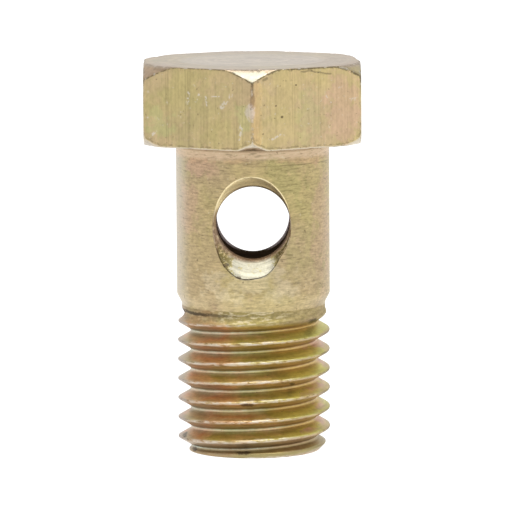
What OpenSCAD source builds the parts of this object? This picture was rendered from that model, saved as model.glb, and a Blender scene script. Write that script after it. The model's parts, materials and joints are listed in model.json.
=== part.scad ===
// Hollow hexagon-head bleeder screw: a banjo-type bolt with a blind axial bore, a countersunk
// cross hole through the plain shank and a rolled fine thread. It stands on its threaded end.

/* [Head] */
// Width across the flats of the hexagon
hex_af = 16.6; // [14:0.1:24]
// Height of the head, from its seat to its top face
head_h = 6.15; // [4:0.05:10]
// How much wider than the flats the circle is where the top chamfer begins
top_over = 0.66; // [-1:0.02:2]
// Slope of the chamfer on the top corners, in degrees from the top face
top_chamfer_angle = 45; // [15:1:50]
// How much wider than the flats the seat is, or narrower if below zero, inside the lower chamfer
seat_over = -0.6; // [-1:0.02:2]
// Slope of the chamfer on the lower corners, in degrees from the seat
seat_chamfer_angle = 23; // [10:1:40]

/* [Shank] */
// Length under the head, from the seat to the threaded end
under_head_l = 24; // [21:0.25:36]
// Diameter of the plain shank
shank_d = 11.8; // [11.6:0.1:12.6]
// Length of the plain shank
shank_l = 11.75; // [11:0.05:14]
// Length of the taper from the shank down to the neck
taper_l = 0.8; // [0.4:0.1:1.5]
// Length of the plain neck below the taper
neck_l = 0.1; // [0.05:0.05:1]

/* [Thread] */
// Outside diameter of the thread
thread_d = 11.74; // [11.2:0.02:11.9]
// Pitch of the right-hand thread
pitch = 1.5; // [1:0.05:1.75]
// Included angle of the thread's flanks
flank_angle = 60; // [54:1:70]
// Width of the flat on each crest, as a share of the pitch
crest_share = 0.1; // [0.05:0.01:0.16]
// Width of the flat in each root, as a share of the pitch
root_share = 0.14; // [0.08:0.01:0.25]
// How far the neck lies below the thread's crests, all round
neck_drop = 0.34; // [0.2:0.02:0.5]
// Length over which the thread fades into the neck, as a share of the pitch
fade_share = 0.8; // [0.4:0.1:1.5]
// Height above the end face of the first crest on the +X side
first_crest_z = 0.3; // [0:0.02:1]
// Diameter of the end face, inside the 45-degree end chamfer
end_d = 10.1; // [9:0.1:11]

/* [Bores] */
// Diameter of the blind axial bore
bore_d = 6.2; // [4:0.1:7]
// Diameter of the cross hole
cross_d = 5.8; // [3:0.1:6]
// Distance from the seat to the middle of the cross hole
cross_drop = 6.15; // [5.5:0.05:7]
// Diameter of the countersink at the crown of the shank
countersink_d = 7.7; // [6.8:0.1:8.6]
// Included angle of the countersink
countersink_angle = 98; // [82:1:110]

/* [Hidden] */
$fn = 96;
// Overlap of solids that are joined, and reach of cutters past the surface they cut
over = 1;
// How far the thread's skin stays inside the neck, which covers its upper end
tuck = 0.02;
// Flat sides in each turn of the thread
thread_sides = 48;
// Point angle of a standard twist drill
drill_angle = 118;

seat_z = under_head_l;
top_z = under_head_l + head_h;
hex_r = hex_af / 2 / cos(30);
top_r = (hex_af + top_over) / 2;
seat_r = (hex_af + seat_over) / 2;

shank_r = shank_d / 2;
shank_low_z = seat_z - shank_l;
neck_top_z = shank_low_z - taper_l;
neck_low_z = neck_top_z - neck_l;

thread_r = thread_d / 2;
crest_w = pitch * crest_share;
root_w = pitch * root_share;
flank_w = (pitch - crest_w - root_w) / 2;
root_r = thread_r - flank_w / tan(flank_angle / 2);
neck_r = thread_r - neck_drop;
end_r = end_d / 2;

cross_z = seat_z - cross_drop;
cross_r = cross_d / 2;
sink_r = countersink_d / 2;
sink_depth = (sink_r - cross_r) / tan(countersink_angle / 2);
bore_r = bore_d / 2;
// The drill's point stops level with the seat of the head
bore_tip_z = seat_z;
bore_top_z = bore_tip_z - bore_r / tan(drill_angle / 2);

// Hexagonal prism, with its corners turned off at top and bottom
module head() {
    reach = hex_r + over;
    top_edge_z = top_z - (reach - top_r) * tan(top_chamfer_angle);
    low_edge_z = seat_z + (reach - seat_r) * tan(seat_chamfer_angle);
    intersection() {
        translate([0, 0, seat_z])
            rotate([0, 0, 30])
                cylinder(h = head_h, r = hex_r, $fn = 6);
        rotate_extrude()
            polygon([
                [0, seat_z],
                [seat_r, seat_z],
                [reach, low_edge_z],
                [reach, top_edge_z],
                [top_r, top_z],
                [0, top_z]
            ]);
    }
}

// Turned shank with its taper and the neck above the thread
module shank() {
    rotate_extrude()
        polygon([
            [0, neck_low_z],
            [neck_r, neck_low_z],
            [neck_r, neck_top_z],
            [shank_r, shank_low_z],
            [shank_r, seat_z + over],
            [0, seat_z + over]
        ]);
}

// Radius of the thread's skin at a height, where its profile asks for r. It fades into the neck,
// and no crest stands proud of the neck within a flank's width of it.
function skin_r(r, z) =
    let (
        share = min(1, max(0, (neck_low_z - flank_w / 2 - z) / (pitch * fade_share))),
        inner_r = neck_r - tuck,
        faded = inner_r + (r - inner_r) * share
    )
    z > neck_low_z - flank_w ? min(faded, inner_r) : faded;

// Right-hand thread as one closed skin. Each column of points follows the profile upward: crest,
// flank, root, flank. After a whole turn the columns meet the first one a pitch higher.
module thread() {
    profile = [
        [-crest_w / 2, thread_r],
        [crest_w / 2, thread_r],
        [crest_w / 2 + flank_w, root_r],
        [crest_w / 2 + flank_w + root_w, root_r]
    ];
    per = len(profile);
    base_z = first_crest_z - 2 * pitch;
    turns = ceil((neck_low_z - base_z) / pitch) + 1;
    rows = turns * per;

    function skin_point(i, j) =
        let (
            turn = (i + 0.5) / thread_sides,
            z = base_z + pitch * (floor(j / per) + turn) + profile[j % per][0],
            r = skin_r(profile[j % per][1], z)
        )
        [r * cos(360 * turn), r * sin(360 * turn), z];

    // Number of the point in column i and row j. Past the last column come the first column's
    // points a pitch higher, and the few above its top row.
    function at(i, j) =
        i < thread_sides ? i * rows + j
            : j < rows - per ? j + per
                : thread_sides * rows + j - (rows - per);

    columns = [
        for (i = [0 : thread_sides - 1])
            for (j = [0 : rows - 1])
                skin_point(i, j)
    ];
    last_column = [
        for (j = [rows - per : rows - 1])
            skin_point(thread_sides, j)
    ];
    low = len(columns) + per;
    high = low + 1;
    low_rim = concat(
        [for (i = [0 : thread_sides]) at(i, 0)],
        [for (j = [per - 1 : -1 : 1]) at(0, j)]
    );
    high_rim = concat(
        [for (i = [0 : thread_sides]) at(i, rows - 1)],
        [for (j = [rows - 2 : -1 : rows - per]) at(thread_sides, j)]
    );
    walls = [
        for (i = [0 : thread_sides - 1])
            for (j = [0 : rows - 2])
                for (upper = [false, true])
                    upper
                        ? [at(i + 1, j), at(i, j + 1), at(i + 1, j + 1)]
                        : [at(i, j), at(i, j + 1), at(i + 1, j)]
    ];
    rim_size = len(low_rim);
    low_fan = [
        for (k = [0 : rim_size - 1])
            [low, low_rim[k], low_rim[(k + 1) % rim_size]]
    ];
    high_fan = [
        for (k = [0 : rim_size - 1])
            [high, high_rim[(k + 1) % rim_size], high_rim[k]]
    ];
    polyhedron(
        points = concat(
            columns,
            last_column,
            [[0, 0, base_z + pitch / 2], [0, 0, base_z + pitch * turns]]
        ),
        faces = concat(walls, low_fan, high_fan)
    );
}

// Everything below the end face and outside its chamfer
module end_trim() {
    reach = thread_r + over;
    rotate_extrude()
        polygon([
            [0, -3 * pitch],
            [reach, -3 * pitch],
            [reach, reach - end_r],
            [end_r, 0],
            [0, 0]
        ]);
}

// Blind bore from the end face, with the cone of the drill at its top
module axial_bore() {
    rotate_extrude()
        polygon([
            [0, -over],
            [bore_r, -over],
            [bore_r, bore_top_z],
            [0, bore_tip_z]
        ]);
}

// Hole right through the shank along Y, countersunk at both mouths
module cross_hole() {
    mouth_r = sink_r + over * tan(countersink_angle / 2);
    translate([0, 0, cross_z])
        rotate([90, 0, 0])
            rotate_extrude()
                polygon([
                    [0, -shank_r - over],
                    [mouth_r, -shank_r - over],
                    [cross_r, -shank_r + sink_depth],
                    [cross_r, shank_r - sink_depth],
                    [mouth_r, shank_r + over],
                    [0, shank_r + over]
                ]);
}

module bleeder_screw() {
    color("#bda970")
        difference() {
            union() {
                head();
                shank();
                thread();
            }
            end_trim();
            axial_bore();
            cross_hole();
        }
}

bleeder_screw();
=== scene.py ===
import json
import math

import bmesh
import bpy
import numpy as np
from mathutils import Matrix, Vector, noise


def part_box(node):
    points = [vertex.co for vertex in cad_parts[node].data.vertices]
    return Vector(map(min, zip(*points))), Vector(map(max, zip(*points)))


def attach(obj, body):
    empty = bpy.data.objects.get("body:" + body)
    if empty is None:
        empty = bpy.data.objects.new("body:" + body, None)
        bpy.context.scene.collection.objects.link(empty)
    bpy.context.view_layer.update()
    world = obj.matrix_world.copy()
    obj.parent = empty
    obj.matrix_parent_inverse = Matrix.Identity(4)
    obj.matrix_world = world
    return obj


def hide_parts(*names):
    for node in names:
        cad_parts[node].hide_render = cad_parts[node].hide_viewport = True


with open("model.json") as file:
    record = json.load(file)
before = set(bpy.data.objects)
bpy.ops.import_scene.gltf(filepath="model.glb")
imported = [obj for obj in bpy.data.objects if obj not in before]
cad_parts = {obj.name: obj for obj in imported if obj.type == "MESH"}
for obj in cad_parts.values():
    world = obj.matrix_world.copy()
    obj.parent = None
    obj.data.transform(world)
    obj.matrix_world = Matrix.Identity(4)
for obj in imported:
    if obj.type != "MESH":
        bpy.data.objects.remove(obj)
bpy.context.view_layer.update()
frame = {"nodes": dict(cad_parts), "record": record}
mm = 0.001
mounts = {m["name"]: m for m in frame["record"]["mounts"]}
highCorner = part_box("bleeder_screw")[1]
print("frame loaded:", sorted(frame["nodes"]))


def mountRadius(name):
    return mounts[name]["dims"]["r_mm"]


def mountLength(name):
    return mounts[name]["dims"]["length_mm"]


def mountHeight(name):
    return mounts[name]["pos_m"][2] / mm


# the skin: one mesh, gathered from grids of points in millimetres

finishes = ["faced", "hexFlats", "turned", "drilled", "thread", "bore"]


class Skin:
    def __init__(self):
        self.points = []
        self.faces = []
        self.slots = []
        self.marks = {"edge": [], "strip": [], "crest": [], "root": [], "under": [], "flank": []}
        self.size = 0

    # rows of points, joined to their neighbours; a closed grid also joins its last column to its first
    def grid(self, points, finish, closed=False, **marks):
        rows, columns = points.shape[:2]
        first = self.size
        self.points.append(points.reshape(-1, 3))
        self.size += rows * columns
        for name, values in self.marks.items():
            mark = np.broadcast_to(marks.get(name, 0.0), (rows, columns))
            values.append(mark.reshape(-1))
        number = first + np.arange(rows * columns).reshape(rows, columns)
        if closed:
            number = np.hstack([number, number[:, :1]])
        quads = np.stack(
            [number[:-1, :-1], number[1:, :-1], number[1:, 1:], number[:-1, 1:]], axis=-1
        ).reshape(-1, 4)
        self.faces.append(quads)
        self.slots.append(np.full(len(quads), finishes.index(finish)))


def grain(points, scale, shift=0.0):
    flat = points.reshape(-1, 3) * scale + shift
    return np.array([noise.noise(Vector(p)) for p in flat]).reshape(points.shape[:-1])


# coarse and fine grain in equal shares
def mottle(points, coarse, fine, shift):
    return grain(points, coarse, shift) * 0.5 + grain(points, fine, shift + 4) * 0.5


def softMax(values, softness):
    peak = np.max(values, axis=0)
    total = np.sum(np.exp((values - peak) / softness), axis=0)
    return peak + softness * np.log(total)


def softMin(a, b, softness):
    return -softMax(np.array([-a, -b * np.ones_like(a)]), softness)


def around(radius, angle, z):
    return np.stack(
        np.broadcast_arrays(radius * np.cos(angle), radius * np.sin(angle), z), axis=-1
    )


# columns of points around the axis, closer together at the six corners of the head

columnsPerSide = 48
bunching = 0.85  # 0 spreads the columns evenly
corner = math.radians(60)
firstCorner = math.radians(-150)


def columnAngles():
    t = np.arange(6 * columnsPerSide) / columnsPerSide
    bunched = t - bunching * np.sin(2 * math.pi * t) / (2 * math.pi)
    return firstCorner + corner * bunched


angles = columnAngles()
frontColumns = np.arange(0, 2 * columnsPerSide + 1)  # from -150 to -30 degrees
rightColumns = np.arange(2 * columnsPerSide, 3 * columnsPerSide + 1)
leftColumns = np.arange(5 * columnsPerSide, 6 * columnsPerSide + 1) % (6 * columnsPerSide)

skin = Skin()

# hexagon head: flats, two faces and two corner cones, met in one soft outline

head = {
    "halfFlats": highCorner.x / mm,
    "topZ": highCorner.z / mm,
    "seatZ": mountHeight("head_seat"),
    "topOver": 0.74,  # circle of the upper chamfer, wider than the flats by this
    "topSlope": math.radians(45),
    "topShift": 0.14,  # the upper chamfer is cut off centre, less at +X
    "seatOver": 1.4,  # circle of the lower chamfer, likewise
    "seatSlope": math.radians(42),
    "edgeSoftness": 0.022,
    "patchySoftness": 1.5,  # share added in places
    "lowSoftness": 0.012,  # added along the lower edge
    "uprightSoftness": 0.05,  # added on the six upright edges
    "edgeWidth": 0.12,  # how far wear reaches beside an edge
    "uprightWidth": 0.3,
    "chipDepth": 0.22,
    "chipFrom": 0.12,  # grain above this breaks the edge
    "dentAt": 6,  # degrees round from +X, where the top edge is knocked in
    "dentHalf": 20,
    "dentDepth": 0.74,
    "stripWidth": 0.12,  # worn strip along the lower edge
    "stripTop": 1.1,  # height above the seat where it ends
    "stripFade": 0.5,
    # finish and inner rows of each stretch: top, upper cone, flat, lower cone, seat
    "stretches": [("faced", 7), ("faced", 1), ("hexFlats", 10), ("faced", 1), ("faced", 1)],
}
shankRadius = mountRadius("shank")
seatZ = head["seatZ"]
seatCircle = head["halfFlats"] + head["seatOver"] / 2


def topCircle(angle):
    off = (np.degrees(angle) - head["dentAt"] + 180) % 360 - 180
    dent = head["dentDepth"] * np.exp(-((off / head["dentHalf"]) ** 2))
    return head["halfFlats"] + head["topOver"] / 2 + head["topShift"] * np.cos(angle) - dent


# how far points lie outside each flat, cone and face
def headFields(r, angle, z):
    sides = [r * np.cos(angle - k * corner) - head["halfFlats"] for k in range(6)]
    topFace, seat = z - head["topZ"], seatZ - z
    high, low = head["topSlope"], head["seatSlope"]
    topCone = (r - topCircle(angle)) * math.sin(high) + topFace * math.cos(high)
    seatCone = (r - seatCircle) * math.sin(low) + seat * math.cos(low)
    return np.array(sides + [topCone, seatCone, topFace, seat])


# distances from both ends of a stretch, close together near its ends, as shares of its length
def nearEnds(length, middle):
    near = np.array([0.0, 0.03, 0.075, 0.15, 0.32])
    shrink = np.minimum(1.0, length / (2.4 * near[-1]))
    start = [d * shrink for d in near]
    inner = [start[-1] + (length - 2 * start[-1]) * k / (middle + 1) for k in range(1, middle + 1)]
    end = [length - d for d in reversed(start)]
    return [s / np.maximum(length, 1e-9) for s in start + inner + end]


# the sharp outline in every column, from the middle of the top face to the shank
def headRows():
    turn = (angles + corner / 2) % corner - corner / 2
    hexRadius = head["halfFlats"] / np.cos(turn)
    topRadius = np.minimum(hexRadius, topCircle(angles))
    seatRadius = np.minimum(hexRadius, seatCircle)
    topEdge = head["topZ"] - (hexRadius - topRadius) * math.tan(head["topSlope"])
    lowEdge = seatZ + (hexRadius - seatRadius) * math.tan(head["seatSlope"])
    same = np.ones_like(angles)
    outline = [
        (0 * same, head["topZ"] * same),
        (topRadius, head["topZ"] * same),
        (hexRadius, topEdge),
        (hexRadius, lowEdge),
        (seatRadius, seatZ * same),
        (shankRadius * same, seatZ * same),
    ]
    rowR, rowZ, stretch = [], [], []
    for k, (finish, middle) in enumerate(head["stretches"]):
        (r0, z0), (r1, z1) = outline[k], outline[k + 1]
        length = np.hypot(r1 - r0, z1 - z0)
        for share in nearEnds(length, middle):
            rowR.append(r0 + (r1 - r0) * share)
            rowZ.append(z0 + (z1 - z0) * share)
            stretch.append(k)
    return np.array(rowR), np.array(rowZ), np.array(stretch)


def buildHead():
    r, z, stretch = headRows()
    centreZ = (head["topZ"] + seatZ) / 2
    low, high = np.full_like(r, 0.85), np.full_like(r, 1.02)  # the soft surface lies between
    sharp = around(r, angles, z)
    wear = mottle(sharp, 1.3, 4.2, 5.0)
    fields = headFields(r, angles, z)
    order = np.sort(fields, axis=0)
    edgeGap = order[-1] - order[-2]  # nothing on an edge
    edge = np.exp(-edgeGap / head["edgeWidth"])
    chip = head["chipDepth"] * np.clip(wear - head["chipFrom"], 0, 1) * edge
    sides = np.sort(fields[:6], axis=0)
    upright = np.exp(-(sides[-1] - sides[-2]) / head["uprightWidth"])
    patchy = np.clip(grain(sharp, 0.9, 15.0) + 0.1, 0, 1)
    softness = head["edgeSoftness"] * (1 + head["patchySoftness"] * patchy)
    nearSeat = np.clip((seatZ + head["stripTop"] - z) / head["stripFade"], 0, 1)
    strip = np.exp(-edgeGap / head["stripWidth"]) * nearSeat
    softness = softness + head["uprightSoftness"] * upright + head["lowSoftness"] * nearSeat
    for step in range(30):  # halve the reach from the middle of the head to its soft surface
        reach = (low + high) / 2
        now = headFields(r * reach, angles, centreZ + (z - centreZ) * reach)
        outside = softMax(now, softness) + chip > 0
        high = np.where(outside, reach, high)
        low = np.where(outside, low, reach)
    r, z = r * reach, centreZ + (z - centreZ) * reach
    r[-1], z[-1] = shankRadius, seatZ
    points = around(r, angles, z)
    for k, (finish, middle) in enumerate(head["stretches"]):
        rows = np.flatnonzero(stretch == k)
        if k:
            rows = np.concatenate([[rows[0] - 1], rows])
        skin.grid(points[rows], finish, closed=True, edge=edge[rows], strip=strip[rows])


buildHead()
print("head laid out")

# plain shank with the countersunk cross hole, and the blind bore that it opens into

holes = {
    "radius": mountRadius("cross_hole") - 0.08,  # the drill ran a little under size
    "z": mountHeight("cross_hole"),
    "sinkRadius": 3.85,
    "sinkAngle": math.radians(98),
    "rimRound": 0.07,
    "lipRound": 0.08,
    "lean": math.tan(math.radians(2.8)),  # drilled a little off square, lower at the back
    # degrees round the mouth, and how far its rim strays there
    "rimWander": [(-180, 0.16), (-150, 0.18), (-127, 0.34), (-107, 0.30), (-90, 0.03),
                  (-73, 0.0), (-50, -0.38), (-22, -0.18), (0, -0.13), (59, -0.06),
                  (90, 0.0), (122, 0.14), (180, 0.16)],
    "patchTop": 22.5,  # patch of the shank around a mouth
    "patchLow": 13.2,
    "sideRows": 24,
    "boreRadius": mountRadius("axial_bore"),
    "boreTop": mountLength("axial_bore"),
    "borePatchLow": 14.2,
    "drillAngle": math.radians(118),
}
shankLowZ = seatZ - mountLength("shank")
sinkSlope = math.tan(holes["sinkAngle"] / 2)
throatDepth = shankRadius - (holes["sinkRadius"] - holes["radius"]) / sinkSlope  # from the axis


# outline of a patch: along its top, down its right side, back along its low edge and up again
def loop(across, top, low):
    down = np.linspace(top, low, holes["sideRows"] + 1)
    x = np.concatenate([across[:-1], np.full(holes["sideRows"], across[-1]),
                        across[:0:-1], np.full(holes["sideRows"], across[0])])
    z = np.concatenate([np.full(len(across) - 1, top), down[:-1],
                        np.full(len(across) - 1, low), down[:0:-1]])
    return x, z


# rows of a curve from a to b that rounds off the knee between them
def bend(a, knee, b, steps):
    t = np.linspace(0, 1, steps)[:, None, None]
    return (1 - t) ** 2 * a + 2 * t * (1 - t) * knee + t ** 2 * b


def shares(count, power):
    return np.linspace(0, 1, count) ** power


def buildShank():
    top, low = holes["patchTop"], holes["patchLow"]
    bandZ = np.linspace(seatZ, top, 7)[:, None]
    skin.grid(around(shankRadius, angles, bandZ), "turned", closed=True)
    bandZ = np.linspace(low, shankLowZ, 5)[:, None]
    skin.grid(around(shankRadius, angles, bandZ), "turned", closed=True)
    sideZ = np.linspace(top, low, holes["sideRows"] + 1)[:, None]
    for columns in (rightColumns, leftColumns):
        skin.grid(around(shankRadius, angles[columns], sideZ), "turned")

    halfTurn = np.array([-1.0, -1.0, 1.0])
    for side, lean in ((np.ones(3), holes["lean"]), (halfTurn, -holes["lean"])):
        for points, finish, edge in mouthGrids(lean):
            skin.grid(points * side, finish, closed=True, edge=edge)


# one mouth of the cross hole, from the shank around it to the bore that it opens into
def mouthGrids(lean):
    front = math.radians(-90)
    zMid, holeR, boreR = holes["z"], holes["radius"], holes["boreRadius"]
    x, z = loop((angles[frontColumns] - front) * shankRadius, holes["patchTop"], holes["patchLow"])
    turn = np.arctan2(z - zMid, x)
    degrees, wander = np.array(holes["rimWander"]).T
    mouthR = holes["sinkRadius"] + np.interp(np.degrees(turn), degrees, wander)
    rim = mouthR
    for step in range(40):  # the cone's mouth on the round shank
        drop = shankRadius - np.sqrt(shankRadius ** 2 - (rim * np.cos(turn)) ** 2)
        rim = 0.5 * rim + 0.5 * (mouthR - drop * sinkSlope)
    rimY = -np.sqrt(shankRadius ** 2 - (rim * np.cos(turn)) ** 2)
    innerY = -throatDepth
    wallY = -np.sqrt(boreR ** 2 - (holeR * np.cos(turn)) ** 2)

    def inHole(radius, y, leaning=1.0):
        px = radius * np.cos(turn)
        pz = zMid + radius * np.sin(turn) - leaning * lean * y
        return np.stack(np.broadcast_arrays(px, y, pz), axis=-1)

    def onCone(share):
        return inHole(rim + (holeR - rim) * share, rimY + (innerY - rimY) * share, share)

    def unrolled(points, radius):
        return (np.arctan2(points[:, 1], points[:, 0]) - front) * radius, points[:, 2]

    def between(near, far, radius, share):
        (nx, nz), (fx, fz) = near, far
        return around(radius, (nx + (fx - nx) * share) / radius + front, nz + (fz - nz) * share)

    def onShank(share):
        return between(unrolled(inHole(rim, rimY, 0.0), shankRadius), (x, z), shankRadius, share)

    def onBore(share):
        half = np.linspace(-math.pi / 2, math.pi / 2, len(frontColumns)) * boreR
        far = loop(half, holes["boreTop"], holes["borePatchLow"])
        return between(unrolled(inHole(holeR, wallY), boreR), far, boreR, share)

    def stacked(make, values):
        return np.stack([make(v) for v in values])

    cone = np.hypot(rim - holeR, innerY - rimY)
    soft = np.minimum(holes["rimRound"], 0.35 * cone)
    reach = np.linalg.norm(onShank(1.0) - onShank(0.0), axis=-1)
    rimShare, coneShare = soft / reach, soft / cone
    wallStart, lipY = innerY + soft, wallY - holes["lipRound"]
    lipShare = 0.03  # of the way from the hole's edge to the end of the bore's patch
    land = stacked(onShank, [1 - (1 - rimShare) * s for s in shares(10, 0.6)])
    rimBend = bend(onShank(rimShare), onShank(0.0), onCone(coneShare), 6)
    slant = stacked(onCone, [coneShare + (1 - 2 * coneShare) * s for s in shares(7, 1.0)])
    throat = bend(onCone(1 - coneShare), onCone(1.0), inHole(holeR, wallStart), 4)
    wall = stacked(lambda s: inHole(holeR, wallStart + (lipY - wallStart) * s), shares(8, 1.0))
    lip = bend(inHole(holeR, lipY), inHole(holeR, wallY), onBore(lipShare), 4)
    inside = stacked(onBore, lipShare + (1 - lipShare) * shares(7, 1.5))
    rimEdge = np.array([[0, 0.6, 1, 1, 0.6, 0]]).T
    return [
        (land, "turned", 0.0),
        (rimBend, "drilled", rimEdge),
        (slant, "drilled", 0.0),
        (throat, "drilled", 0.4),
        (wall, "drilled", 0.0),
        (lip, "drilled", 0.0),
        (inside, "bore", 0.0),
    ]


boreColumns = 4 * columnsPerSide
boreAngles = np.linspace(-math.pi, math.pi, boreColumns, endpoint=False)
endBreak = 0.12  # small chamfer where the bore leaves the end face


def buildBore():
    boreR = holes["boreRadius"]
    tip = holes["boreTop"] + boreR / math.tan(holes["drillAngle"] / 2)
    rising = np.concatenate([[0.0], np.linspace(endBreak, holes["borePatchLow"], 20)])
    radius = np.where(rising > 0, boreR, boreR + endBreak)
    skin.grid(around(radius[:, None], boreAngles, rising[:, None]), "bore", closed=True)
    up = np.linspace(0, 1, 8)[:, None]
    cone = around(boreR * (1 - up), boreAngles, holes["boreTop"] + (tip - holes["boreTop"]) * up)
    skin.grid(cone, "bore", closed=True)


buildShank()
buildBore()
print("shank, cross hole and bore laid out")

# neck and rolled thread

thread = {
    "radius": 5.87,
    "pitch": 1.5,
    "crestShare": 0.10,
    "rootShare": 0.14,
    "flankAngle": math.radians(60),
    "firstCrest": 0.30,
    "taperLength": 0.8,
    "neckLength": 0.1,
    "neckDrop": 0.34,
    "fadeShare": 0.8,
    "endRadius": 5.05,
    "soft": 0.028,
    "rootSoft": 0.0448,
    "endSoft": 0.03,
    "endFace": 0.8,  # width of the plain ring around the bore
    "nickDepth": 0.11,
    "nickFrom": 0.1,  # grain above this nicks the crest
    "nickHalf": 0.16,
    "wornDrop": 0.05,  # pale band on the crest, partly wear and partly painted highlight, lower and narrower at the sides than in front
    "wornLift": 0.08,
    "wornHalf": 0.19,
    "wornSpread": 0.03,
    "frontX": 0.4,
    "frontHalf": 1.7,
    "paleLift": 0.085,  # painted highlight line, above the middle of the root
    "paleHalf": 0.14,
    "crestTurn": 0.18,  # where the mark of the lower flank fades, on the crest and in the root
    "rootTurn": 0.1,
    "rowsInPitch": [0, 0.03, 0.06, 0.1, 0.18, 0.28, 0.38, 0.43, 0.465,
                    0.5, 0.535, 0.57, 0.62, 0.72, 0.82, 0.9, 0.94, 0.97],
}
neckTopZ = shankLowZ - thread["taperLength"]
neckLowZ = neckTopZ - thread["neckLength"]
neckRadius = thread["radius"] - thread["neckDrop"]


def threadPhase(angle, z):
    along = (z - thread["firstCrest"]) / thread["pitch"] - angle / (2 * math.pi)
    return along - np.round(along)


def threadRadius(angle, z):
    pitch = thread["pitch"]
    phase = threadPhase(angle, z) * pitch
    offset = np.abs(phase)
    halfCrest = pitch * thread["crestShare"] / 2
    flank = (pitch * (1 - thread["crestShare"] - thread["rootShare"])) / 2
    steep = 1 / math.tan(thread["flankAngle"] / 2)
    rootRadius = thread["radius"] - flank * steep
    slope = thread["radius"] - (offset - halfCrest) * steep
    r = softMax(np.array([slope, rootRadius * np.ones_like(slope)]), thread["rootSoft"])
    r = softMin(r, thread["radius"], thread["soft"])
    nick = np.clip(mottle(around(r, angle, z), 1.7, 5.0, 3.0) - thread["nickFrom"], 0, 1)
    r = r - thread["nickDepth"] * nick * np.exp(-((offset / thread["nickHalf"]) ** 2))
    fade = np.clip((neckLowZ - flank / 2 - z) / (pitch * thread["fadeShare"]), 0, 1)
    r = neckRadius + (r - neckRadius) * fade
    r = softMin(r, thread["endRadius"] + np.maximum(z, 0), thread["endSoft"])
    aboveRoot = np.where(phase < 0, phase + pitch / 2, phase - pitch / 2)
    under = np.clip(0.5 - phase / thread["crestTurn"], 0, 1)
    under = under * np.clip((pitch / 2 - offset) / thread["rootTurn"], 0, 1)
    front = (thread["radius"] * np.cos(angle) - thread["frontX"]) / thread["frontHalf"]
    middle = np.exp(-(front ** 2))
    wearAndSheen = phase + thread["wornDrop"] - thread["wornLift"] * middle
    wornHalf = thread["wornHalf"] + thread["wornSpread"] * middle
    marks = {
        "crest": np.exp(-((wearAndSheen / wornHalf) ** 2)) * fade,
        "root": np.exp(-(((aboveRoot - thread["paleLift"]) / thread["paleHalf"]) ** 2)) * fade,
        "under": under * fade,
        "flank": offset / (pitch / 2) * fade,  # 0 on the crest, 1 in the root
    }
    return r, marks


def buildThread():
    t = np.linspace(0, 1, 13)[:, None]
    ease = t * t * (3 - 2 * t)
    taperZ = shankLowZ + (neckTopZ - shankLowZ) * t
    taper = around(shankRadius + (neckRadius - shankRadius) * (0.6 * t + 0.4 * ease), angles, taperZ)
    skin.grid(taper, "turned", closed=True)
    neck = around(neckRadius, angles, np.linspace(neckTopZ, neckLowZ, 3)[:, None])
    skin.grid(neck, "turned", closed=True)

    pitch = thread["pitch"]
    # a whole turn, so that its ends meet a pitch apart
    wide = np.append(angles, angles[0] + 2 * math.pi)
    start = thread["firstCrest"] + pitch * angles[0] / (2 * math.pi) - 2 * pitch
    turns = int(math.ceil((neckLowZ - start) / pitch)) + 1
    offsets = np.array([k + share for k in range(turns) for share in thread["rowsInPitch"]])
    helix = start + pitch * (offsets[::-1, None] + (wide - angles[0]) / (2 * math.pi))
    z = np.clip(helix, 0.0, neckLowZ)
    r, marks = threadRadius(wide, z)
    skin.grid(around(r, wide, z), "thread", **marks)

    flatZ = np.zeros_like(angles)
    endRing = around(threadRadius(angles, flatZ)[0], angles, flatZ)
    share = shares(3, 1.0)[:, None, None]
    inner = around(holes["boreRadius"] + thread["endFace"], angles, flatZ)
    skin.grid(endRing + (inner - endRing) * share, "faced", closed=True)


buildThread()
print("neck and thread laid out")

# one closed mesh, welded where the grids meet

weldGap = 4e-7  # metres


def buildMesh():
    mesh = bpy.data.meshes.new("bleederScrewSkin")
    points = np.concatenate(skin.points) * mm
    faces = np.concatenate(skin.faces)
    mesh.from_pydata(points.tolist(), [], faces.tolist())
    mesh.polygons.foreach_set("material_index", np.concatenate(skin.slots).astype(np.int32))
    for name, values in skin.marks.items():
        layer = mesh.attributes.new(name, "FLOAT", "POINT")
        layer.data.foreach_set("value", np.concatenate(values).astype(np.float32))
    solid = bmesh.new()
    solid.from_mesh(mesh)
    bmesh.ops.remove_doubles(solid, verts=solid.verts, dist=weldGap)
    rims = [e for e in solid.edges if e.is_boundary]  # end face and mouth of the bore
    for face in bmesh.ops.bridge_loops(solid, edges=rims)["faces"]:
        face.normal_update()
        if face.normal.z > 0:
            face.normal_flip()
    for face in solid.faces:
        face.smooth = True
    loose = sum(not (e.is_manifold and e.is_contiguous) for e in solid.edges)
    triangles = sum(len(f.verts) - 2 for f in solid.faces)
    solid.to_mesh(mesh)
    solid.free()
    print("skin:", triangles, "triangles,", loose, "open or turned edges")
    piece = bpy.data.objects.new("bleederScrewSkin", mesh)
    bpy.context.scene.collection.objects.link(piece)
    return piece


screw = buildMesh()
print("mesh built")


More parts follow.
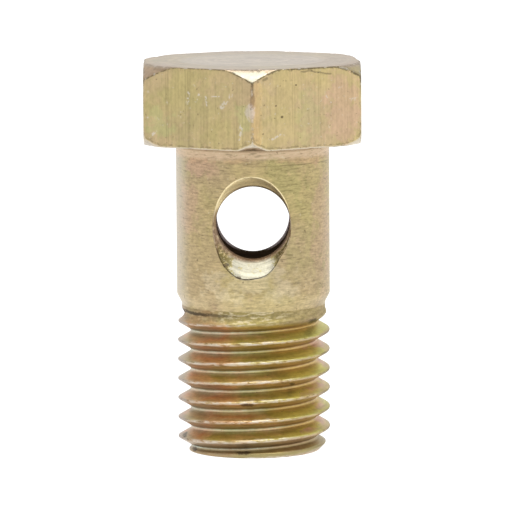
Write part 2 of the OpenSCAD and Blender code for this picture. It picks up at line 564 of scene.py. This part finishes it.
# a shader socket; sums on it add Math nodes
class Wire:
    def __init__(self, tree, socket=None):
        self.tree = tree
        self.socket = socket

    # any other node: its settings first, then the values or links of its sockets
    def node(self, kind, settings=None, inputs=None, out=0):
        made = self.tree.nodes.new(kind)
        for name, value in (settings or {}).items():
            if name == "stops":  # of a colour ramp
                ramp = made.color_ramp.elements
                while len(ramp) < len(value):
                    ramp.new(1.0)
                for stop, (position, colour) in zip(ramp, value):
                    stop.position = position
                    stop.color = colour
            else:
                setattr(made, name, value)
        for key, value in (inputs or {}).items():
            if isinstance(value, Wire):
                self.tree.links.new(value.socket, made.inputs[key])
            else:
                made.inputs[key].default_value = value
        return Wire(self.tree, made.outputs[out]) if made.outputs else None

    def maths(self, operation, *values):
        return self.node("ShaderNodeMath", {"operation": operation}, dict(enumerate(values)))

    def __add__(self, other):
        return self.maths("ADD", self, other)

    def __radd__(self, other):
        return self.maths("ADD", other, self)

    def __sub__(self, other):
        return self.maths("SUBTRACT", self, other)

    def __rsub__(self, other):
        return self.maths("SUBTRACT", other, self)

    def __mul__(self, other):
        return self.maths("MULTIPLY", self, other)

    def __rmul__(self, other):
        return self.maths("MULTIPLY", other, self)

    def __truediv__(self, other):
        return self.maths("DIVIDE", self, other)

    def __rtruediv__(self, other):
        return self.maths("DIVIDE", other, self)

    def __neg__(self):
        return self.maths("MULTIPLY", -1, self)

    def __abs__(self):
        return self.maths("ABSOLUTE", self)


def most(a, b):
    return a.maths("MAXIMUM", a, b)


def distance(a, b):
    total = a * a + b * b
    return total.maths("SQRT", total)


def stretched(place, factors):
    return place.node("ShaderNodeVectorMath", {"operation": "MULTIPLY"}, {0: place, 1: factors})


def shaded(colour, amount):
    return amount.node("ShaderNodeVectorMath", {"operation": "SCALE"}, {0: colour, "Scale": amount})


def blended(share, a, b):
    return share.node("ShaderNodeMix", {"data_type": "RGBA"}, {0: share, 6: a, 7: b}, out=2)


def cloud(place, scale=1.0, detail=2.0, rough=0.5, shift=0.0):
    moved = place.node("ShaderNodeVectorMath", {"operation": "ADD"}, {0: place, 1: (shift,) * 3})
    return place.node("ShaderNodeTexNoise", {}, {"Vector": moved, "Scale": scale, "Detail": detail,
                                                 "Roughness": rough})


# noise about zero
def uneven(value, amount):
    return (value - 0.5) * amount


def rise(value, low, high):
    return value.node("ShaderNodeMapRange", {"interpolation_type": "SMOOTHSTEP"},
                      {"Value": value, "From Min": low, "From Max": high})


def parted(place):
    made = place.node("ShaderNodeSeparateXYZ", {}, {0: place})
    sockets = made.socket.node.outputs
    return [Wire(place.tree, sockets[k]) for k in range(3)]


def joined(x, y, z):
    return x.node("ShaderNodeCombineXYZ", {}, {0: x, 1: y, 2: z})


def mark(place, name):
    return place.node("ShaderNodeAttribute", {"attribute_name": name}, {}, out="Fac")


# the half that is turned to the viewer
def nearHalf(y):
    return rise(-y, 0.5, 1.5)


# soft oval on that half, given by its middle and half sizes, in millimetres across and up
def oval(spot, x, y, z, ragged=None):
    px, pz, wide, tall = spot
    across, up = (x - px) / wide, (z - pz) / tall
    far = across * across + up * up
    if ragged is not None:
        far = far + uneven(ragged, 4.5)
    return (1 - rise(far, 0.25, 1.0)) * nearHalf(y)


# straight scratch on the same half, given by its ends and half width
def scratch(line, x, y, z):
    ax, az, bx, bz, half = line
    dx, dz = bx - ax, bz - az
    along = ((x - ax) * dx + (z - az) * dz) / (dx * dx + dz * dz)
    along = along.node("ShaderNodeClamp", {}, {"Value": along})
    far = distance(x - ax - along * dx, z - az - along * dz)
    return (1 - rise(far, half * 0.4, half)) * nearHalf(y)


# a paint gives colour, roughness, height and, where it isn't bare metal all over, its share of metal
def metal(name, paint, bumpDistance):
    material = bpy.data.materials.new(name)
    material.use_nodes = True
    tree = material.node_tree
    tree.nodes.clear()
    start = Wire(tree)
    place = start.node("ShaderNodeTexCoord", {}, {}, out="Object")
    place = place.node("ShaderNodeVectorMath", {"operation": "SCALE"}, {0: place, "Scale": 1 / mm})
    colour, roughness, height, *shine = paint(place, *parted(place))
    bump = height.node("ShaderNodeBump", {}, {"Height": height, "Strength": 1.0,
                                              "Distance": bumpDistance * mm})
    surface = colour.node("ShaderNodeBsdfPrincipled", {}, {
        "Base Color": colour, "Roughness": roughness, "Metallic": shine[0] if shine else 1.0,
        "Specular IOR Level": 0.0, "Normal": bump})
    surface.node("ShaderNodeOutputMaterial", {}, {"Surface": surface})
    screw.data.materials.append(material)


# yellow-chromate film, and the colours of painted light and shade, as linear reflectance

film = {
    "gold": (0.43, 0.345, 0.165, 1),
    "tan": (0.41, 0.315, 0.18, 1),
    "pink": (0.46, 0.31, 0.21, 1),
    "olive": (0.34, 0.30, 0.13, 1),
    "green": (0.38, 0.37, 0.17, 1),
    "rust": (0.50, 0.33, 0.20, 1),
    "honey": (0.68, 0.57, 0.33, 1),
    "moss": (0.37, 0.31, 0.09, 1),
    "lime": (0.46, 0.42, 0.10, 1),
    "coral": (0.51, 0.265, 0.13, 1),
    "orange": (0.52, 0.36, 0.17, 1),
    "cream": (0.66, 0.58, 0.42, 1),
    "pale": (0.62, 0.57, 0.49, 1),
    "lilac": (0.58, 0.50, 0.50, 1),
    "mint": (0.58, 0.66, 0.56, 1),
    "peach": (0.62, 0.47, 0.32, 1),
    # dark brown: stains, and painted shade under the head and at the front corners
    "stain": (0.22, 0.14, 0.08, 1),
    "umber": (0.17, 0.135, 0.075, 1),
    # pale colour of the painted highlights on the corner cones and the lower countersink
    "bare": (0.40, 0.385, 0.31, 1),
    "bronze": (0.30, 0.235, 0.13, 1),
    # near black: specks, pits and the bore, and painted shade on the far wall of the cross hole
    "soot": (0.07, 0.05, 0.03, 1),
}


def filmColour(place):
    broad = cloud(place, 0.14, 2.0, 0.5, 11.0)
    patchy = cloud(place, 0.42, 4.0, 0.6, 23.0)
    colour = blended(rise(broad, 0.36, 0.64), film["gold"], film["tan"])
    colour = blended(rise(patchy, 0.52, 0.74) * 0.35, colour, film["pink"])
    return blended(rise(patchy, 0.48, 0.28) * 0.5, colour, film["olive"])


def tinted(colour, tints, x, y, z, ragged):
    for px, pz, wide, tall, hue, strength in tints:
        colour = blended(oval((px, pz, wide, tall), x, y, z, ragged) * strength, colour, film[hue])
    return colour


# edges of the head: a thin dark line along the top, chips, and along the bottom a pale worn strip with
# a dark seam above it
def wornEdges(colour, place, x, z, darkness, stripWear):
    edge = mark(place, "edge")
    top = rise(z, head["topZ"] - 1.95, head["topZ"] - 1.25)
    low = 1 - rise(z, seatZ + 0.6, seatZ + 1.3)
    right = (0.4 + rise(x, 1.5, 3.5) * 0.6) * top  # darker to the right
    ragged = cloud(place, 2.4, 3.0, 0.65, 71.0)
    dark = rise(edge + right * 0.35 + uneven(ragged, 0.9), 0.58, 0.82)
    dark = dark * rise(ragged + right * 0.1, 0.42, 0.52) * (1 - low)
    colour = blended(dark * (0.3 + top * 0.5 + right * 0.15) * darkness, colour, film["umber"])
    chips = cloud(place, 2.2, 3.0, 0.65, 83.0)
    wearAndSheen = rise(edge + uneven(chips, 1.6), 0.60, 0.90) * rise(chips, 0.50, 0.62)
    colour = blended(wearAndSheen * (0.35 + top * 0.2) * (1 - low), colour, film["pale"])
    wander = mark(place, "strip") + uneven(ragged, 0.5)
    colour = blended(rise(wander, 0.30, 0.62) * stripWear, colour, film["pale"])
    seam = rise(wander, 0.06, 0.20) * rise(wander, 0.42, 0.28) * rise(chips, 0.42, 0.54)
    colour = blended(seam * 0.5 * darkness, colour, film["umber"])
    specks = rise(edge, 0.12, 0.3) * rise(cloud(place, 3.2, 2.0, 0.6, 91.0), 0.62, 0.70)
    return blended(specks * 0.5 * darkness, colour, film["umber"])


# faced surfaces: top of the head, its corner cones, the seat and the end face

faced = {"rough": 0.30, "bump": 0.008, "innerRadius": 5.6, "edgeDark": 0.25, "stripWear": 0.12}


def paintFaced(place, x, y, z):
    topZ, flat = head["topZ"], head["halfFlats"]
    radius = distance(x, y)
    soft = cloud(place, 0.8, 4.0, 0.65, 4.0)
    inner = radius + uneven(soft, 1.2) - faced["innerRadius"]
    inner = 1 - rise(inner, -0.5, 0.3)  # paler middle of the top face
    top = rise(z, topZ - 0.25, topZ - 0.05)
    colour = blended(top * (0.25 + inner * 0.3), filmColour(place), film["pale"])
    colour = blended(top * 0.22, colour, film["lilac"])
    colour = blended(top * rise(radius, flat - 0.9, flat) * 0.3, colour, film["pink"])
    cone = rise(z, topZ - 1.75, topZ - 1.55) * (1 - top)  # upper corners
    front = cone * rise(-y, flat - 0.9, flat - 0.3)
    away = abs(x + 0.25) + uneven(soft, 0.4)
    # painted highlight on the upper corner cones, strongest on the front one, with painted shade on
    # the front cone beside it
    colour = blended(cone * 0.2 + front * 0.65, colour, film["bare"])
    colour = blended(cone * rise(-x, 4.5, 6.5) * 0.6, colour, film["pink"])
    colour = blended(front * rise(away, 1.1, 1.4) * 0.85, colour, film["stain"])
    # painted reflection of the floor: the lower corner cones are painted pale
    lowCone = rise(z, seatZ + 0.02, seatZ + 0.06) * (1 - rise(z, seatZ + 0.6, seatZ + 0.9))
    colour = blended(lowCone * 0.65, colour, film["pale"])
    # painted shade: the lower front corner is dark underneath
    shadowed = 1 - rise(z + uneven(soft, 0.2), seatZ + 0.26, seatZ + 0.42)
    shadowed = shadowed * lowCone * rise(-y, flat - 0.3, flat + 0.3)
    colour = blended(shadowed * 0.9, colour, film["stain"])
    fine = cloud(place, 3.2, 2.0, 0.6)
    rings = cloud(joined(radius * 3.0, x * 0.2, y * 0.2), 1.0, 3.0, 0.6)
    colour = shaded(colour, 1 + uneven(fine, 0.6) + uneven(soft, 0.6) + uneven(rings, 0.6))
    specks = rise(cloud(place, 3.0, 3.0, 0.7, 35.0), 0.66, 0.74)
    colour = blended(specks * 0.4, colour, film["soot"])
    colour = wornEdges(colour, place, x, z, faced["edgeDark"], faced["stripWear"])
    return colour, faced["rough"] + fine * 0.16, fine * 0.6 + soft * 0.8 - specks * 0.6


metal("faced", paintFaced, faced["bump"])

# flats of the hexagon: drawn streaks along the bar, pits, scratches and worn corners

flats = {
    "rough": 0.30,
    "bump": 0.010,
    "edgeDark": 1.0,
    "stripWear": 0.6,
    "darkLines": [(-6.35, 27.2, 0.22, 3.2), (-4.93, 27.0, 0.24, 3.4), (-2.75, 28.4, 0.09, 1.8),
                  (5.05, 27.2, 0.10, 2.8), (1.75, 26.6, 0.12, 2.6), (3.0, 27.0, 0.08, 3.0)],
    "pits": [(2.24, 26.54, 0.13, 0.12), (3.31, 28.89, 0.10, 0.08), (1.79, 27.40, 0.09, 0.07)],
    "scratches": [(-8.15, 26.28, -7.23, 26.22, 0.10), (-7.62, 24.94, -7.32, 25.23, 0.13),
                  (-3.2, 28.06, -2.5, 28.1, 0.07), (-2.3, 27.3, -1.6, 28.2, 0.22),
                  (5.12, 27.45, 5.51, 28.08, 0.07), (5.51, 28.08, 5.96, 27.42, 0.07),
                  (-1.1, 24.8, -0.8, 26.0, 0.20), (-4.9, 27.5, -4.8, 28.3, 0.16),
                  (-4.28, 27.6, -4.02, 28.2, 0.11), (-3.4, 27.4, -3.52, 28.0, 0.12),
                  (1.5, 24.9, 2.1, 25.2, 0.12), (7.2, 27.5, 7.9, 27.6, 0.16)],
    "tints": [(-4.6, 27.0, 3.6, 4.0, "olive", 0.4), (-7.0, 25.9, 1.2, 1.3, "green", 0.5),
              (-0.7, 26.6, 0.7, 1.2, "green", 0.5), (0.35, 26.9, 0.45, 3.4, "orange", 0.55),
              # the gold oval beside the front corner is a painted highlight along the rounded upright
              # edge
              (0.85, 27.4, 0.5, 2.6, "gold", 0.4), (-0.12, 27.0, 0.4, 0.7, "lilac", 0.4),
              (0.0, 28.2, 0.22, 1.1, "stain", 0.6),
              (2.6, 27.0, 1.7, 3.6, "gold", 0.6), (4.2, 26.6, 1.0, 3.0, "green", 0.3),
              (6.9, 26.8, 1.6, 3.4, "pink", 0.6)],
    "burrs": [(0.86, 29.40, 1.12, 29.52, 0.13), (3.72, 29.82, 4.5, 29.88, 0.10),
              (4.5, 29.88, 5.0, 29.74, 0.10), (5.0, 29.74, 5.95, 29.64, 0.09)],
}


def paintFlats(place, x, y, z):
    ragged = cloud(place, 1.1, 4.0, 0.65, 17.0)
    colour = tinted(filmColour(place), flats["tints"], x, y, z, ragged)
    streaks = cloud(stretched(place, (6.0, 6.0, 0.07)), 1.0, 2.0, 0.7)
    drawn = rise(cloud(stretched(place, (0.8, 0.8, 0.15)), 1.0, 2.0, 0.5, 9.0), 0.35, 0.65)
    fine = cloud(stretched(place, (4.6, 4.6, 3.0)), 1.0, 1.0, 0.65, 8.0)
    blotch = cloud(place, 0.8, 4.0, 0.65, 27.0)
    # painted light: the right flat is painted a little lighter than the left
    colour = shaded(colour, 1.15 + rise(x, 0.2, 0.8) * 0.05 + uneven(streaks, 0.35 + drawn * 0.6)
                    + uneven(fine, 0.45) + uneven(blotch, 0.4))
    dark = rise(streaks, 0.62, 0.72) * 0.12
    for spot in flats["darkLines"]:
        dark = dark + oval(spot, x, y, z, streaks) * 0.11
    colour = shaded(colour, 1 - dark)
    pits = rise(cloud(place, 3.0, 2.0, 0.6, 41.0) + dark * 0.2, 0.67, 0.74) * 0.6
    for spot in flats["pits"]:
        pits = most(pits, oval(spot, x, y, z))
    colour = blended(pits * 0.75, colour, film["soot"])
    broken = cloud(stretched(place, (3.0, 3.0, 3.0)), 1.0, 2.0, 0.6, 57.0)
    bright = rise(broken, 0.65, 0.73) * 0.5
    for line in flats["scratches"]:
        bright = most(bright, scratch(line, x, y, z) * rise(broken, 0.46, 0.60))
    colour = blended(bright * 0.65, colour, film["pale"])
    wavy = z + uneven(cloud(place, 1.6, 3.0, 0.6, 95.0), 0.35)
    for line in flats["burrs"]:
        burr = scratch(line, x, y, wavy) * rise(fine, 0.22, 0.42)
        colour = blended(burr * 0.6, colour, film["umber"])
    colour = wornEdges(colour, place, x, z, flats["edgeDark"], flats["stripWear"])
    height = streaks * 0.3 + fine * 0.5 + blotch * 0.8 - pits * 1.5
    return colour, flats["rough"] + fine * 0.16, height


metal("hexFlats", paintFlats, flats["bump"])

# turned shank and neck: torn tool marks that run round it

turned = {
    "rough": 0.33,
    "bump": 0.010,
    "toolLine": seatZ - 1.45,
    "tints": [(-3.7, 22.6, 1.5, 1.3, "pink", 0.75), (2.6, 21.4, 1.9, 2.2, "olive", 0.6),
              (4.0, 17.0, 1.6, 4.0, "olive", 0.35), (-3.6, 15.0, 2.2, 2.6, "tan", 0.6),
              (5.3, 17.5, 0.9, 5.5, "pink", 0.45), (3.4, 13.6, 2.2, 1.3, "tan", 0.5),
              (-4.9, 19.0, 0.8, 2.5, "pink", 0.5), (-2.2, 21.0, 1.6, 1.4, "tan", 0.5),
              # the honey and cream bands across the taper are painted highlight
              (0.0, 12.1, 7.0, 1.1, "honey", 0.22), (0.0, 13.4, 4.5, 1.5, "cream", 0.25),
              (-3.4, 23.1, 3.2, 0.5, "rust", 0.5), (4.2, 23.1, 2.2, 0.6, "rust", 0.5)],
}


def paintTurned(place, x, y, z):
    ragged = cloud(place, 0.8, 4.0, 0.65, 19.0)
    colour = tinted(filmColour(place), turned["tints"], x, y, z, ragged)
    torn = cloud(stretched(place, (1.3, 1.3, 7.0)), 1.0, 2.0, 0.65, 6.0)
    rings = cloud(stretched(place, (0.3, 0.3, 5.0)), 1.0, 3.0, 0.6)
    fine = cloud(stretched(place, (3.4, 3.4, 5.5)), 1.0, 2.0, 0.65, 15.0)
    colour = shaded(colour, 1.03 + uneven(torn, 0.95) + uneven(rings, 0.3) + uneven(fine, 0.8))
    # painted reflection: the left edge of the shank is painted pale
    colour = blended(rise(-x, shankRadius - 1.2, shankRadius - 0.1) * 0.5, colour, film["pale"])
    strokes = rise(cloud(stretched(place, (1.2, 1.2, 9.0)), 1.0, 1.0, 0.6, 27.0), 0.62, 0.70)
    above = rise(z, shankLowZ + 0.75, shankLowZ + 2.25)  # the strokes are deeper above the taper
    colour = shaded(colour, 1 - strokes * (0.12 + above * 0.14))
    line = 1 - rise(abs(z - turned["toolLine"]), 0.02, 0.08)
    line = line * rise(x, -0.5, 1.5) * rise(ragged, 0.35, 0.5)
    colour = shaded(colour, 1 - line * 0.3)
    under = rise(z + uneven(ragged, 0.5), seatZ - 1.15, seatZ - 0.75)  # next to the head
    colour = blended(under * (0.75 + uneven(torn, 1.2)), colour, film["peach"])
    colour = blended(under * rise(fine, 0.58, 0.70) * 0.5, colour, film["cream"])
    colour = shaded(colour, 1 - under * rise(torn, 0.44, 0.30) * 0.3)
    # painted shade: a thin dark line on the shank just under the head
    seatLine = rise(z + uneven(torn, 0.2), seatZ - 0.44, seatZ - 0.36)
    colour = blended(seatLine * 0.45, colour, film["stain"])
    specks = rise(cloud(place, 3.4, 2.0, 0.6, 43.0), 0.67, 0.74)
    colour = blended(specks * 0.5, colour, film["soot"])
    flecks = rise(cloud(place, 3.4, 2.0, 0.6, 63.0), 0.67, 0.75)
    colour = blended(flecks * 0.35, colour, film["cream"])
    return colour, turned["rough"] + fine * 0.14, torn * 0.6 + fine * 0.5 - specks * 0.8


metal("turned", paintTurned, turned["bump"])

# countersinks and the wall of the cross hole: rings left by the tool

drilled = {
    "rough": 0.32,
    "wallRough": 0.8,
    "bump": 0.012,
    "spots": [(-2.17, 14.93, 0.30, 0.22), (-1.12, 14.02, 0.30, 0.20), (-0.25, 13.84, 0.65, 0.14)],
}


def paintDrilled(place, x, y, z):
    holeR = holes["radius"]
    up = z - holes["z"]
    rings = cloud(joined(distance(x, up) * 8.0, x * 0.4, up * 0.4), 1.0, 1.0, 0.6)
    beyond = abs(y) + rise(up, -1.0, 1.0) * 0.12 - throatDepth
    mouth = rise(beyond, -0.045, 0.195)  # the plated cone, against the duller wall
    side = abs(x)
    ragged = cloud(place, 1.4, 4.0, 0.7, 33.0)
    # painted highlight: the lower countersink is painted pale
    floor = rise(-up, 1.6, 2.6) * (1 - rise(side + uneven(ragged, 2.0), 1.5, 2.1))
    # painted reflection: the upper countersink is painted lighter
    roof = rise(up, 0.5, 2.0)
    colour = blended(roof * 0.95, filmColour(place), film["honey"])
    colour = blended(floor * 0.9, colour, film["bare"])
    fine = cloud(place, 6.0, 3.0, 0.7, 15.0)
    colour = shaded(colour, 1 + roof * 0.24 + uneven(rings, 1.1) + uneven(fine, 0.8))
    specks = rise(cloud(place, 2.2, 3.0, 0.65, 47.0) + rise(side, 0.9, 2.0) * 0.16, 0.58, 0.68)
    specks = specks * rise(-up, -0.4, 0.8)
    colour = blended(specks * 0.7, colour, film["moss"])
    colour = blended(rise(specks * side, 1.0, 2.2) * 0.6, colour, film["soot"])
    colour = blended(specks * rise(fine, 0.56, 0.66) * 0.6, colour, film["cream"])
    # dark lines where the cone meets the hole, above it and at its sides
    outward = distance(x, up + y * holes["lean"]) + uneven(ragged, 0.1) - holeR
    inner = rise(outward, 0.15, 0.05) * rise(up, -1.0, 1.0)
    colour = blended(inner * (0.8 - rise(side, 0.9, 2.1) * 0.5), colour, film["stain"])
    flanks = rise(side + uneven(ragged, 0.3), holeR - 0.27, holeR - 0.07) * (1 - rise(up, 0.9, 1.7))
    colour = blended(flanks * 0.7, colour, film["stain"])
    rim = rise(mark(place, "edge") + uneven(ragged, 1.2), 0.6, 0.9)
    low = rise(-up, 0.5, 2.5) * 0.22
    colour = blended(rim * rise(ragged - low, 0.40, 0.52) * 0.5, colour, film["cream"])
    colour = blended(rim * rise(ragged - low, 0.45, 0.33) * 0.85, colour, film["soot"])
    for spot in drilled["spots"]:
        colour = blended(oval(spot, x, y, z, ragged) * 0.8, colour, film["soot"])
    # painted shade: the far wall of the cross hole, seen through it, is painted near black, paler at
    # its sides
    back = rise(y, 0.5, 1.0)
    wall = blended(rise(fine, 0.50, 0.68), film["stain"], film["rust"])
    wall = blended(rise(cloud(place, 3.2, 2.0, 0.6, 61.0), 0.56, 0.66) * 0.5, wall, film["honey"])
    wall = blended(back, wall, film["soot"])
    sides = rise(side + uneven(ragged, 1.0), 1.4 - back * 0.6, 2.4 - back * 0.4)
    wall = blended(sides * (0.12 + back * 0.73), wall, film["lilac"])
    colour = blended(mouth, wall, colour)
    roughness = drilled["wallRough"] + mouth * (drilled["rough"] - drilled["wallRough"]) + rings * 0.15
    return colour, roughness, rings * 0.7 + fine * 0.4 - specks * 0.5, mouth


metal("drilled", paintDrilled, drilled["bump"])

# rolled thread: satin flanks with painted light and shade, crests pale partly from wear and partly
# from painted highlight, and thin painted highlight lines in the roots

rolled = {
    "rough": 0.32,
    "bump": 0.014,
    "hues": [(0.0, "tan"), (0.10, "rust"), (0.22, "coral"), (0.36, "orange"), (0.50, "moss"),
             (0.86, "lime"), (1.0, "pink")],
    "stains": [(2.9, 5.62, 0.28, 0.16), (-0.47, 4.22, 0.6, 0.14), (-0.73, 0.43, 0.7, 0.14),
               (-4.57, 0.3, 0.3, 0.2), (-5.43, 1.43, 0.3, 0.2), (4.55, 10.25, 0.5, 0.3)],
    "startLine": neckLowZ - 0.3,
}


def paintThread(place, x, y, z):
    ragged = cloud(place, 1.6, 4.0, 0.7, 13.0)
    broad = cloud(stretched(place, (0.25, 0.25, 0.9)), 1.0, 2.0, 0.5, 29.0)
    across = x / (2 * shankRadius) + 0.5 + uneven(broad, 1.1) + uneven(ragged, 0.3)
    stops = [(position, film[hue]) for position, hue in rolled["hues"]]
    colour = across.node("ShaderNodeValToRGB", {"stops": stops}, {"Fac": across})
    under, rootMark, flank = mark(place, "under"), mark(place, "root"), mark(place, "flank")
    wavy, shifted = flank + uneven(ragged, 0.3), x + uneven(broad, 5.0)
    # upper flank: next to the root, next to the crest and between them
    deep = rise(wavy, 0.50, 0.92) * (1 - under)
    colour = blended(deep * 0.22 * (1 - rise(shifted, -1.0, 2.0)), colour, film["mint"])
    colour = blended(deep * 0.5 * rise(shifted, 0.0, 2.5), colour, film["coral"])
    shoulder = rise(wavy, 0.55, 0.25) * (1 - under)
    colour = blended(shoulder * (0.15 + rise(x, -2.5, 1.0) * 0.28), colour, film["lime"])
    halfway = rise(flank, 0.28, 0.48) * (1 - rise(flank, 0.78, 0.94)) * (1 - under)
    side = abs(x)
    # painted light and shade: the upper flank is painted lighter, most halfway up, and the lower flank
    # darker part way to the sides
    shadow = under * rise(side, 1.5, 3.2) * (1 - rise(side, 4.2, 5.0))
    colour = shaded(colour, 1 + deep * 0.06 + halfway * 0.26 + shoulder * 0.10 - shadow * 0.2)
    colour = blended((1 - rise(z, 0.9, 1.5)) * 0.8, colour, film["bronze"])
    colour = blended(under * (0.5 + rise(x, 0.0, 3.0) * 0.35), colour, film["rust"])
    rings = cloud(stretched(place, (0.5, 0.5, 5.0)), 1.0, 2.0, 0.6)
    fine = cloud(place, 3.4, 2.0, 0.65, 37.0)
    # painted shade: the lower flank is painted darker next to the root
    colour = shaded(colour, (1 + uneven(rings, 0.7) + uneven(fine, 0.5))
                    * (1 - under * rise(rootMark, 0.04, 0.25) * 0.4))
    flecks = cloud(stretched(place, (1.5, 1.5, 5.0)), 1.0, 2.0, 0.65, 67.0)
    # the first turn is rough
    start = rise(z + uneven(ragged, 0.4), neckLowZ - 1.45, neckLowZ - 0.65)
    colour = blended(start * 0.7, colour, film["bronze"])
    # painted highlight: cream flecks on the first turn, strongest where it faces the viewer
    facing = 1 - rise(abs(x + 0.3), 1.5, 3.6)
    colour = blended(start * rise(flecks, 0.50, 0.64) * (0.12 + facing * 0.4), colour, film["cream"])
    colour = blended(start * rise(x, 1.0, 4.0) * 0.4, colour, film["tan"])
    colour = shaded(colour, 1 + (fine + flecks - 1.0) * 0.8 * start)
    crest = mark(place, "crest")
    rough = rise(crest + uneven(ragged, 0.9), 0.40, 0.80)
    patchy = rise(cloud(place, 1.1, 3.0, 0.6, 75.0), 0.38, 0.60)
    # pale crests: partly wear, partly painted highlight, weaker to the right
    wearAndSheen = rough * (1 - rise(x, 1.6, 4.0) * 0.6)
    colour = blended(wearAndSheen * rise(flecks, 0.36, 0.56) * (0.45 + patchy * 0.35), colour, film["pale"])
    colour = blended(rough * rise(flecks, 0.44, 0.32) * (0.8 - patchy * 0.3), colour, film["stain"])
    # painted shade: a dark outline on the crests seen edge on, at the left and right
    tip = rise(side, shankRadius - 1.2, shankRadius - 0.4) * rise(crest, 0.45, 0.85)
    colour = blended(tip * rise(ragged, 0.34, 0.50) * 0.65, colour, film["umber"])
    # painted highlight: a thin pale line in the roots, mint at the left and peach at the right
    pale = blended(rise(x + uneven(broad, 8.0), -1.0, 3.5), film["mint"], film["peach"])
    root = rise(rootMark + uneven(ragged, 0.5), 0.70, 1.0)
    colour = blended(root * (0.4 + patchy * 0.35), colour, pale)
    # painted reflection: the left edge of the thread is painted pale
    colour = blended(rise(-x, shankRadius - 1.0, shankRadius - 0.1) * 0.45, colour, film["lilac"])
    dark = rise(cloud(place, 3.0, 3.0, 0.7, 53.0), 0.66, 0.76) * 0.6
    for spot in rolled["stains"]:
        dark = most(dark, oval(spot, x, y, z, ragged) * 0.8)
    # dark line where the thread starts, heavier at the left
    left = rise(-x, 0.0, 4.5)
    line = abs(z - rolled["startLine"] + left * 0.08 + uneven(ragged, 0.3))
    line = 1 - rise(line, 0.03 + left * 0.05, 0.10 + left * 0.09)
    line = line * (0.12 + left * 0.73) * rise(ragged + left * 0.1, 0.36, 0.52)
    dark = most(dark, line)
    colour = blended(dark, colour, film["soot"])
    height = rings * 0.3 + fine * (0.3 + rough * 1.5) - dark
    return colour, rolled["rough"] + fine * 0.12 + rough * 0.1 + start * 0.26, height


metal("thread", paintThread, rolled["bump"])

# inside of the bore, dull and dark

bore = {"rough": 0.7, "bump": 0.01, "unevenness": 0.5}


def paintBore(place, x, y, z):
    rings = cloud(stretched(place, (0.4, 0.4, 5.0)), 1.0, 3.0, 0.6)
    colour = blended(rings * bore["unevenness"], film["soot"], film["stain"])
    return colour, bore["rough"] + rings * 0.1, rings, 0.0


metal("bore", paintBore, bore["bump"])
print("finishes made:", [m.name for m in screw.data.materials])

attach(screw, "root")
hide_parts("bleeder_screw")

# stage: pale floor, white tent and a soft box overhead

stage = {
    "floorHalf": 2.0,
    "floorGap": 2e-5,  # below the end face, so that the two don't flicker
    "floorGlow": 1.16,
    "floorAlbedo": 0.08,
    "boxPlace": (0.0, -0.14, 0.42),
    "boxSize": (0.62, 0.36),
    "boxEnergy": 2.3,
}


def buildFloor():
    half, low = stage["floorHalf"], -stage["floorGap"]
    corners = [(-half, -half, low), (half, -half, low), (half, half, low), (-half, half, low)]
    mesh = bpy.data.meshes.new("paleFloor")
    mesh.from_pydata(corners, [], [(0, 1, 2, 3)])
    floor = bpy.data.objects.new("paleFloor", mesh)
    bpy.context.scene.collection.objects.link(floor)
    material = bpy.data.materials.new("paleFloor")
    material.use_nodes = True
    tree = material.node_tree
    tree.nodes.clear()
    grey = stage["floorAlbedo"]
    surface = Wire(tree).node("ShaderNodeBsdfPrincipled", {}, {
        "Base Color": (grey, grey, grey, 1), "Roughness": 1.0, "Specular IOR Level": 0.0,
        "Emission Color": (1, 1, 1, 1), "Emission Strength": stage["floorGlow"]})
    surface.node("ShaderNodeOutputMaterial", {}, {"Surface": surface})
    mesh.materials.append(material)


# brightness of the tent by height, from the floor line to the zenith
tent = [(0.0, 0.85), (0.5, 0.90), (0.62, 0.98), (0.75, 0.98), (0.88, 0.68), (0.95, 0.45), (1.0, 0.6)]
sideGain = 0.09  # the right side is a little brighter than the left


def buildLight():
    world = bpy.data.worlds.new("studio")
    world.use_nodes = True
    tree = world.node_tree
    tree.nodes.clear()
    way = Wire(tree).node("ShaderNodeTexCoord", {}, {}, out="Generated")
    x, _, z = parted(way)
    level = z * 0.5 + 0.5
    stops = [(position, (value, value, value, 1)) for position, value in tent]
    glow = level.node("ShaderNodeValToRGB", {"stops": stops}, {"Fac": level})
    glow = shaded(glow, 1 + x * sideGain)
    sky = glow.node("ShaderNodeBackground", {}, {"Color": glow, "Strength": 1.0})
    sky.node("ShaderNodeOutputWorld", {}, {"Surface": sky})
    bpy.context.scene.world = world
    lamp = bpy.data.lights.new("softBox", "AREA")
    lamp.shape = "RECTANGLE"
    lamp.size, lamp.size_y = stage["boxSize"]
    lamp.energy = stage["boxEnergy"]
    box = bpy.data.objects.new("softBox", lamp)
    place = Vector(stage["boxPlace"])
    box.matrix_world = Matrix.Translation(place) @ place.to_track_quat("Z", "Y").to_matrix().to_4x4()
    bpy.context.scene.collection.objects.link(box)


view = {
    "place": (0.0, -403.6, 64.31),
    "target": (0.138, 0.0, 15.07),
    "lens": 372.1,
    "sensor": 36,
    "nearClip": 0.01,
    "roll": -0.0064,
}


def buildCamera():
    camera = bpy.data.cameras.new("photoView")
    camera.lens = view["lens"]
    camera.sensor_width = view["sensor"]
    camera.clip_start = view["nearClip"]
    eye = bpy.data.objects.new("photoView", camera)
    place, target = Vector(view["place"]) * mm, Vector(view["target"]) * mm
    turn = (target - place).to_track_quat("-Z", "Y").to_matrix().to_4x4()
    eye.matrix_world = Matrix.Translation(place) @ turn @ Matrix.Rotation(view["roll"], 4, "Z")
    bpy.context.scene.collection.objects.link(eye)
    bpy.context.scene.camera = eye


buildFloor()
buildLight()
buildCamera()
bpy.context.scene.view_settings.view_transform = "Standard"
print("stage, light and camera set")
